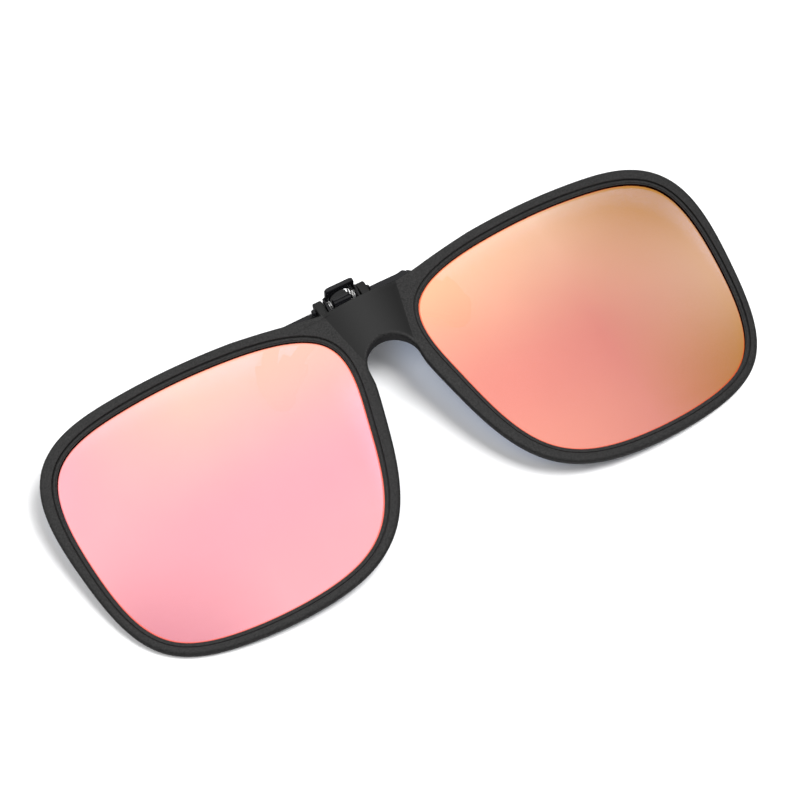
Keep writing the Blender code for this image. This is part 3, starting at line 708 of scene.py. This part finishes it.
def add_front_jaw(looks):
    middle = (FRONT_CLAW_Z - SHEET / 2, FRONT_CLAW_Z + SHEET / 2)
    mesh = soften(box((-EAR_OUTER, EAR_OUTER), CROSS_PLATE_Y, middle), EDGE_ROUNDING)
    merge(mesh, lever_mesh())
    for side in (-1, 1):
        merge(mesh, ear_mesh(side))
        merge(mesh, claw(FRONT_CLAW, side, FRONT_CLAW_Z))
    jaw = add_piece("front_clip_jaw", mesh, looks["black_steel"], "clip", ["front_jaw"])
    smooth(jaw, 35)


def tab_mesh():
    """The rear jaw's finger tab, with one corner cut away."""
    points = [Vector(corner) * MM for corner in TAB_OUTLINE]
    middle = PIN_Z - KNUCKLE_RADIUS + TAB_FORWARD
    return soften(plate(points, 1, middle, TAB_HALF_DEPTH), STEEL_ROUNDING)


def add_rear_jaw(looks):
    edge, shoulder = KNUCKLE_HALF - KNUCKLE_CHAMFER, KNUCKLE_RADIUS - KNUCKLE_CHAMFER
    knuckle = (
        (-KNUCKLE_HALF, BORE_RADIUS),
        (-KNUCKLE_HALF, shoulder),
        (-edge, KNUCKLE_RADIUS),
        (edge, KNUCKLE_RADIUS),
        (KNUCKLE_HALF, shoulder),
        (KNUCKLE_HALF, BORE_RADIUS),
        (-KNUCKLE_HALF, BORE_RADIUS),
    )
    mesh = turned(knuckle)
    merge(mesh, tab_mesh())
    neck = box((-edge, edge), NECK_Y, (REAR_BAR_Z - NECK_BEHIND_BAR, PIN_Z - NECK_BEHIND_PIN))
    merge(mesh, soften(neck, EDGE_ROUNDING))
    for side in (-1, 1):
        merge(mesh, leaned(claw(REAR_CLAW, side, REAR_BAR_Z)))
    jaw = add_piece("rear_clip_jaw", mesh, looks["black_steel"], "rear_clamp", ["rear_jaw"])
    smooth(jaw, 35)


def tip_stations(path):
    """The last stretch of a claw's path, as long as its rubber sleeve."""
    stations = smoothed(path, 24)
    kept = [stations[-1]]
    length = 0.0
    for (before, _), (after, _) in zip(stations[-2::-1], stations[:0:-1]):
        length += (after - before).length
        kept.append((before, stations[-1][1]))
        if length > PAD_LENGTH:
            break
    return list(reversed(kept))


def add_pad(name, path, side, middle, looks, body):
    """A rubber sleeve over a claw's end, rounded all over."""
    outline = strip_outline(tip_stations(path), PAD_OVERHANG)
    mesh = soften(plate(outline, side, middle, PAD_HALF_DEPTH), PAD_ROUNDING, 5, 50)
    pad = add_piece(name.replace("pad", "sleeve"), mesh, looks["rubber"], body, [name])
    smooth(pad, 40)


def add_pin(looks):
    end = LUG_OUTER + PIN_HEAD_GAP
    profile = [(-end - beyond * MM, radius * MM) for beyond, radius in PIN_LEFT_HEAD]
    profile += [(-end, PIN_HEAD_RADIUS), (-end, PIN_RADIUS), (end, PIN_RADIUS), (end, PIN_RIGHT_HEAD_RADIUS)]
    profile += [(end + beyond * MM, radius * MM) for beyond, radius in PIN_RIGHT_HEAD]
    pin = add_piece("headed_pin", turned(profile), looks["black_steel"], "clip", ["hinge_pin"])
    smooth(pin, 40)


def spring_path(side):
    """Centre line of one torsion spring: front leg, coil round the pin, rear leg."""
    start, swept = math.radians(SPRING_START), math.tau * COIL_TURNS
    width = COIL_PITCH * COIL_TURNS
    coil = []
    for step in range(SPRING_STEPS + 1):
        share = step / SPRING_STEPS
        turn = start - swept * share
        x = COIL_CENTRE - width / 2 + width * share
        around = Vector((0, math.cos(turn), math.sin(turn)))
        coil.append(Vector((x, PIN_Y, PIN_Z)) + COIL_RADIUS * around)
    front_way = (coil[0] - coil[1]).normalized()
    rear_way = (coil[-1] - coil[-2]).normalized()
    front_end = coil[0] + front_way * SPRING_LEG * FRONT_LEG_SHARE
    rear_end = coil[-1] + rear_way * SPRING_LEG * REAR_LEG_SHARE
    path = [front_end, *coil, rear_end]
    return [Vector((side * at.x, at.y, at.z)) for at in path]


def wire_mesh(path, sides=14):
    """A round wire swept along a path, closed at both ends."""
    mesh = bmesh.new()
    rings = []
    for index, at in enumerate(path):
        along = (path[min(index + 1, len(path) - 1)] - path[max(index - 1, 0)]).normalized()
        across = along.cross(Vector((1, 0, 0))).normalized()
        up = along.cross(across)
        turns = [math.tau * step / sides for step in range(sides)]
        ring = [at + WIRE_RADIUS * (math.cos(t) * across + math.sin(t) * up) for t in turns]
        rings.append([mesh.verts.new(corner) for corner in ring])
    for first, second in zip(rings, rings[1:]):
        for index in range(sides):
            after = (index + 1) % sides
            mesh.faces.new((first[index], first[after], second[after], second[index]))
    mesh.faces.new(rings[0])
    mesh.faces.new(rings[-1])
    return mesh


def add_clip(looks):
    add_front_jaw(looks)
    add_rear_jaw(looks)
    add_pin(looks)
    for side, name in ((-1, "left"), (1, "right")):
        coil, stands_for = wire_mesh(spring_path(side)), [f"spring_{name}"]
        wire = add_piece(f"coil_spring_{name}", coil, looks["steel"], "clip", stands_for)
        smooth(wire, 50)
        add_pad(f"pad_front_{name}", FRONT_CLAW, side, FRONT_CLAW_Z, looks, "clip")
        add_pad(f"pad_rear_{name}", REAR_CLAW, side, REAR_CLAW_Z, looks, "rear_clamp")


# ---------------------------------------------------------------- materials


def new_look(name):
    look = bpy.data.materials.new(name)
    look.use_nodes = True
    nodes = look.node_tree.nodes
    return look, nodes, look.node_tree.links, nodes["Principled BSDF"]


def linear(colour):
    """An 8-bit display colour as linear RGBA."""
    parts = [value / 255 for value in colour]
    return (*[p / 12.92 if p <= 0.04045 else ((p + 0.055) / 1.055) ** 2.4 for p in parts], 1.0)


def two_tone(nodes, links, noise, dark, light):
    """Colour that wanders between two tones with the noise."""
    ramp = nodes.new("ShaderNodeValToRGB")
    ramp.color_ramp.elements[0].color = (*dark, 1)
    ramp.color_ramp.elements[1].color = (*light, 1)
    links.new(noise.outputs["Fac"], ramp.inputs["Fac"])
    return ramp


def multiplied(nodes, links, first, second):
    product = nodes.new("ShaderNodeMath")
    product.operation = "MULTIPLY"
    links.new(first, product.inputs[0])
    links.new(second, product.inputs[1])
    return product.outputs["Value"]


def let_through(nodes, links, shader, colour, share):
    """Lets this share of the light pass the surface, tinted by the colour."""
    through = nodes.new("ShaderNodeBsdfTransparent")
    through.inputs["Color"].default_value = (*colour, 1)
    mix = nodes.new("ShaderNodeMixShader")
    mix.inputs["Fac"].default_value = share
    links.new(shader.outputs["BSDF"], mix.inputs[1])
    links.new(through.outputs["BSDF"], mix.inputs[2])
    links.new(mix.outputs["Shader"], nodes["Material Output"].inputs["Surface"])


def add_grain(nodes, links, shader, scale, height, roughness, spread):
    """Fine surface grain as bump, with the roughness varied by the same noise."""
    place = nodes.new("ShaderNodeTexCoord")
    noise = nodes.new("ShaderNodeTexNoise")
    noise.inputs["Scale"].default_value = scale
    noise.inputs["Detail"].default_value = 3.0
    links.new(place.outputs["Object"], noise.inputs["Vector"])
    bump = nodes.new("ShaderNodeBump")
    bump.inputs["Strength"].default_value = 0.5
    bump.inputs["Distance"].default_value = height
    links.new(noise.outputs["Fac"], bump.inputs["Height"])
    links.new(bump.outputs["Normal"], shader.inputs["Normal"])
    vary = nodes.new("ShaderNodeMapRange")
    vary.inputs["To Min"].default_value = roughness - spread
    vary.inputs["To Max"].default_value = roughness + spread
    links.new(noise.outputs["Fac"], vary.inputs["Value"])
    links.new(vary.outputs["Result"], shader.inputs["Roughness"])
    return noise


def panel_mask(nodes, links):
    """Where the painted shade goes: 1 on the bridge panel and 0 elsewhere, with a plain border at the nose
    arch; also the worn x.
    """
    worn = nodes.new("ShaderNodeUVMap")
    worn.uv_map = "worn_map"
    split = nodes.new("ShaderNodeSeparateXYZ")
    links.new(worn.outputs["UV"], split.inputs["Vector"])
    size = nodes.new("ShaderNodeMath")
    size.operation = "ABSOLUTE"
    links.new(split.outputs["X"], size.inputs[0])
    limits = (PANEL_BOTTOM_Y / MM, PANEL_TOP_Y / MM, PANEL_HALF_BOTTOM / MM, PANEL_HALF_TOP / MM)
    edge = mapped(nodes, links, split.outputs["Y"], *limits)
    edge.node.clamp = False
    inside = nodes.new("ShaderNodeMath")
    inside.operation = "SUBTRACT"
    links.new(edge, inside.inputs[0])
    links.new(size.outputs["Value"], inside.inputs[1])
    reach = nodes.new("ShaderNodeVectorMath")
    reach.operation = "DISTANCE"
    reach.inputs[1].default_value = (0, ARCH_CENTRE_Y / MM, 0)
    links.new(worn.outputs["UV"], reach.inputs[0])
    border = (ARCH_RADIUS + PANEL_BORDER) / MM
    beyond = mapped(nodes, links, reach.outputs["Value"], border - BORDER_BLUR, border + BORDER_BLUR)
    within = mapped(nodes, links, inside.outputs["Value"], -PANEL_BLUR, PANEL_BLUR)
    return multiplied(nodes, links, within, beyond), split.outputs["X"]


def plastic_look():
    """Fine-grained matt black moulding, with painted shade on the bridge panel: darker than the rest,
    lightest just left of the middle and darkest at the right, where its bulge turns from the light.
    """
    look, nodes, links, shader = new_look("matt_black_moulding")
    noise = add_grain(nodes, links, shader, 3600.0, 0.00004, 0.44, 0.07)
    grain = two_tone(nodes, links, noise, (0.004, 0.004, 0.004), (0.021, 0.0205, 0.0205))
    grain.color_ramp.elements[0].position = 0.32
    grain.color_ramp.elements[1].position = 0.68
    mask, across = panel_mask(nodes, links)
    # Painted shade across the bridge panel, from its dark left edge over a lighter middle to its darkest
    # right edge.
    painted_panel_shade = nodes.new("ShaderNodeValToRGB")
    painted_panel_shade.color_ramp.interpolation = "EASE"
    elements = painted_panel_shade.color_ramp.elements
    elements[0].color = (0.002, 0.002, 0.002, 1)
    elements[1].color = (0.0005, 0.0005, 0.0005, 1)
    elements.new(0.45).color = (0.012, 0.012, 0.012, 1)
    half = PANEL_HALF_TOP / MM
    links.new(mapped(nodes, links, across, -half, half), painted_panel_shade.inputs["Fac"])
    colour = blended(nodes, links, mask, grain.outputs["Color"], painted_panel_shade.outputs["Color"])
    links.new(colour, shader.inputs["Base Color"])
    shader.inputs["Specular IOR Level"].default_value = 0.29
    return look


def black_steel_look():
    look, nodes, links, shader = new_look("black_coated_steel")
    noise = add_grain(nodes, links, shader, 2600.0, 0.000006, 0.27, 0.05)
    ramp = two_tone(nodes, links, noise, (0.002, 0.002, 0.003), (0.006, 0.006, 0.007))
    links.new(ramp.outputs["Color"], shader.inputs["Base Color"])
    shader.inputs["Specular IOR Level"].default_value = 0.22
    shader.inputs["Coat Weight"].default_value = 0.12
    shader.inputs["Coat Roughness"].default_value = 0.12
    return look


def spring_look():
    look, nodes, links, shader = new_look("bright_spring_wire")
    noise = add_grain(nodes, links, shader, 4000.0, 0.000004, 0.46, 0.06)
    ramp = two_tone(nodes, links, noise, (0.84, 0.84, 0.84), (0.95, 0.95, 0.94))
    links.new(ramp.outputs["Color"], shader.inputs["Base Color"])
    shader.inputs["Metallic"].default_value = 1.0
    return look


def rubber_look():
    look, nodes, links, shader = new_look("black_sleeve_rubber")
    noise = add_grain(nodes, links, shader, 3500.0, 0.00001, 0.55, 0.08)
    ramp = two_tone(nodes, links, noise, (0.012, 0.012, 0.012), (0.024, 0.024, 0.024))
    links.new(ramp.outputs["Color"], shader.inputs["Base Color"])
    return look


def coat_and_reflection_ramp(nodes, links, along, coat_and_reflection_runs):
    """One run of mirror colours from brow to lower rim, partly the coat's own colour and partly painted
    reflection.
    """
    ramp = nodes.new("ShaderNodeValToRGB")
    ramp.color_ramp.interpolation = "CARDINAL"
    elements = ramp.color_ramp.elements
    elements[0].position, elements[1].position = TINT_PLACES[-1], TINT_PLACES[0]
    elements[0].color, elements[1].color = linear(coat_and_reflection_runs[-1]), linear(coat_and_reflection_runs[0])
    elements.new(TINT_PLACES[1]).color = linear(coat_and_reflection_runs[1])
    links.new(along, ramp.inputs["Fac"])
    return ramp.outputs["Color"]


def blended(nodes, links, factor, first, second):
    mix = nodes.new("ShaderNodeMix")
    mix.data_type = "RGBA"
    links.new(factor, mix.inputs["Factor"])
    links.new(first, mix.inputs[6])
    links.new(second, mix.inputs[7])
    return mix.outputs[2]


def mapped(nodes, links, value, low, high, to_low=0.0, to_high=1.0, kind="LINEAR"):
    node = nodes.new("ShaderNodeMapRange")
    node.interpolation_type = kind
    for name, number in (("From Min", low), ("From Max", high), ("To Min", to_low), ("To Max", to_high)):
        node.inputs[name].default_value = number
    links.new(value, node.inputs["Value"])
    return node.outputs["Result"]


def mirror_look(name, coat_and_reflection_runs):
    """Mirror coat whose colour runs over the lens, partly its own tint and partly painted reflection, with a
    painted orange-red reflection along its cut edge; slightly see-through.
    """
    look, nodes, links, shader = new_look(name)
    place = nodes.new("ShaderNodeUVMap")
    place.uv_map = "tint_map"
    split = nodes.new("ShaderNodeSeparateXYZ")
    links.new(place.outputs["UV"], split.inputs["Vector"])
    across, along = split.outputs["X"], split.outputs["Y"]
    nasal, middle, temple = (coat_and_reflection_ramp(nodes, links, along, run) for run in coat_and_reflection_runs)
    inner = blended(nodes, links, mapped(nodes, links, across, *NOSE_TO_MIDDLE), nasal, middle)
    coat = blended(nodes, links, mapped(nodes, links, across, *MIDDLE_TO_TEMPLE), inner, temple)
    noise = nodes.new("ShaderNodeTexNoise")
    noise.inputs["Scale"].default_value = 90.0
    noise.inputs["Detail"].default_value = 2.0
    where = nodes.new("ShaderNodeTexCoord")
    links.new(where.outputs["Object"], noise.inputs["Vector"])
    shade = nodes.new("ShaderNodeHueSaturation")
    links.new(mapped(nodes, links, noise.outputs["Fac"], 0.3, 0.7, 0.985, 1.01), shade.inputs["Value"])
    links.new(coat, shade.inputs["Color"])
    reach = nodes.new("ShaderNodeAttribute")
    reach.attribute_name = "edge_reach"
    # Painted reflection along the lens's cut edge, mixed into the coat's colour.
    edge_reflection = nodes.new("ShaderNodeRGB")
    edge_reflection.outputs[0].default_value = linear(EDGE_PAINTED_REFLECTION)
    at_edge = mapped(nodes, links, reach.outputs["Fac"], *EDGE_PAINTED_REFLECTION_REACH, EDGE_PAINTED_REFLECTION_SHARE, 0.0, "SMOOTHSTEP")
    tinted = blended(nodes, links, at_edge, shade.outputs["Color"], edge_reflection.outputs[0])
    links.new(tinted, shader.inputs["Base Color"])
    shader.inputs["Metallic"].default_value = 1.0
    shader.inputs["Roughness"].default_value = 0.12
    let_through(nodes, links, shader, COAT_THROUGH_TINT, COAT_THROUGH)
    return look


def lens_back_look():
    """The inside of the lens: smoke-tinted, glossy and mostly see-through."""
    look, nodes, links, shader = new_look("smoke_lens_back")
    noise = nodes.new("ShaderNodeTexNoise")
    noise.inputs["Scale"].default_value = 60.0
    where = nodes.new("ShaderNodeTexCoord")
    links.new(where.outputs["Object"], noise.inputs["Vector"])
    ramp = two_tone(nodes, links, noise, (0.022, 0.026, 0.032), (0.030, 0.034, 0.042))
    links.new(ramp.outputs["Color"], shader.inputs["Base Color"])
    shader.inputs["Roughness"].default_value = 0.06
    let_through(nodes, links, shader, BACK_THROUGH_TINT, BACK_THROUGH)
    return look


def floor_look():
    """White paper, darker where glossy surfaces reflect it."""
    look, nodes, links, shader = new_look("white_floor")
    path = nodes.new("ShaderNodeLightPath")
    paper = nodes.new("ShaderNodeValToRGB")
    paper.color_ramp.elements[0].color = (0.95, 0.95, 0.955, 1)
    paper.color_ramp.elements[1].color = (*[FLOOR_IN_GLOSS] * 3, 1)
    links.new(path.outputs["Is Glossy Ray"], paper.inputs["Fac"])
    links.new(paper.outputs["Color"], shader.inputs["Base Color"])
    shader.inputs["Roughness"].default_value = 0.9
    shader.inputs["Specular IOR Level"].default_value = 0.0
    return look


# ---------------------------------------------------------------- studio


def add_floor():
    mesh = bmesh.new()
    bmesh.ops.create_grid(mesh, x_segments=1, y_segments=1, size=4.0)
    data = bpy.data.meshes.new("studio_floor")
    mesh.to_mesh(data)
    mesh.free()
    data.materials.append(floor_look())
    floor = bpy.data.objects.new("studio_floor", data)
    bpy.context.scene.collection.objects.link(floor)


def add_light(name, way, distance, size, power):
    """A square soft light aimed at the object from the given direction, hidden from reflections."""
    light = bpy.data.lights.new(name, "AREA")
    light.shape = "SQUARE"
    light.size = size
    light.energy = power
    lamp = bpy.data.objects.new(name, light)
    lamp.location = Vector(way).normalized() * distance
    lamp.rotation_euler = (-lamp.location).to_track_quat("-Z", "Y").to_euler()
    lamp.visible_glossy = False
    bpy.context.scene.collection.objects.link(lamp)


def studio_world():
    """Soft white dome, dimmer at the horizon and toward +X, and weaker as diffuse light than in gloss."""
    world = bpy.data.worlds.new("studio")
    world.use_nodes = True
    nodes, links = world.node_tree.nodes, world.node_tree.links
    way = nodes.new("ShaderNodeTexCoord")
    split = nodes.new("ShaderNodeSeparateXYZ")
    links.new(way.outputs["Generated"], split.inputs["Vector"])
    dome = (HORIZON_HEIGHT, DOME_HEIGHT, HORIZON_LIGHT, DOME_LIGHT)
    level = mapped(nodes, links, split.outputs["Z"], *dome, "SMOOTHSTEP")
    path = nodes.new("ShaderNodeLightPath")
    fill = mapped(nodes, links, path.outputs["Is Diffuse Ray"], 0.0, 1.0, 1.0, DOME_FILL)
    side = mapped(nodes, links, split.outputs["X"], SIDE_FROM, SIDE_TO, 1.0, SIDE_FALLOFF, "SMOOTHSTEP")
    strength = multiplied(nodes, links, multiplied(nodes, links, level, side), fill)
    links.new(strength, nodes["Background"].inputs["Strength"])
    nodes["Background"].inputs["Color"].default_value = (1, 1, 1, 1)
    return world


def add_studio():
    scene = bpy.context.scene
    scene.world = studio_world()
    scene.view_settings.view_transform = "Standard"
    scene.view_settings.look = "None"
    add_floor()
    add_light("softbox_right", RIGHT_FROM, LAMP_DISTANCE, RIGHT_SIZE, RIGHT_POWER)
    add_light("softbox_left", LEFT_FROM, LAMP_DISTANCE, LEFT_SIZE, LEFT_POWER)


def add_camera():
    """The camera as worn, turned with the object into the frame."""
    data = bpy.data.cameras.new("camera")
    data.lens = CAMERA_LENS
    data.sensor_width = SENSOR
    data.clip_start = 0.01
    camera = bpy.data.objects.new("camera", data)
    right = CAMERA_RIGHT.normalized()
    back = -CAMERA_FORWARD.normalized()
    up = back.cross(right).normalized()
    turn = Matrix((right, up, back)).transposed().to_4x4()
    camera.matrix_world = LYING @ Matrix.Translation(CAMERA_AT) @ turn
    bpy.context.scene.collection.objects.link(camera)
    bpy.context.scene.camera = camera


def main():
    looks = {
        "plastic": plastic_look(),
        "black_steel": black_steel_look(),
        "steel": spring_look(),
        "rubber": rubber_look(),
        "mirror_left": mirror_look("pink_mirror_coat", PINK_COAT_AND_PAINTED_REFLECTION),
        "mirror_right": mirror_look("orange_mirror_coat", ORANGE_COAT_AND_PAINTED_REFLECTION),
        "lens_back": lens_back_look(),
    }
    add_front(looks)
    add_lenses(looks)
    add_clip(looks)
    add_studio()
    add_camera()


main()
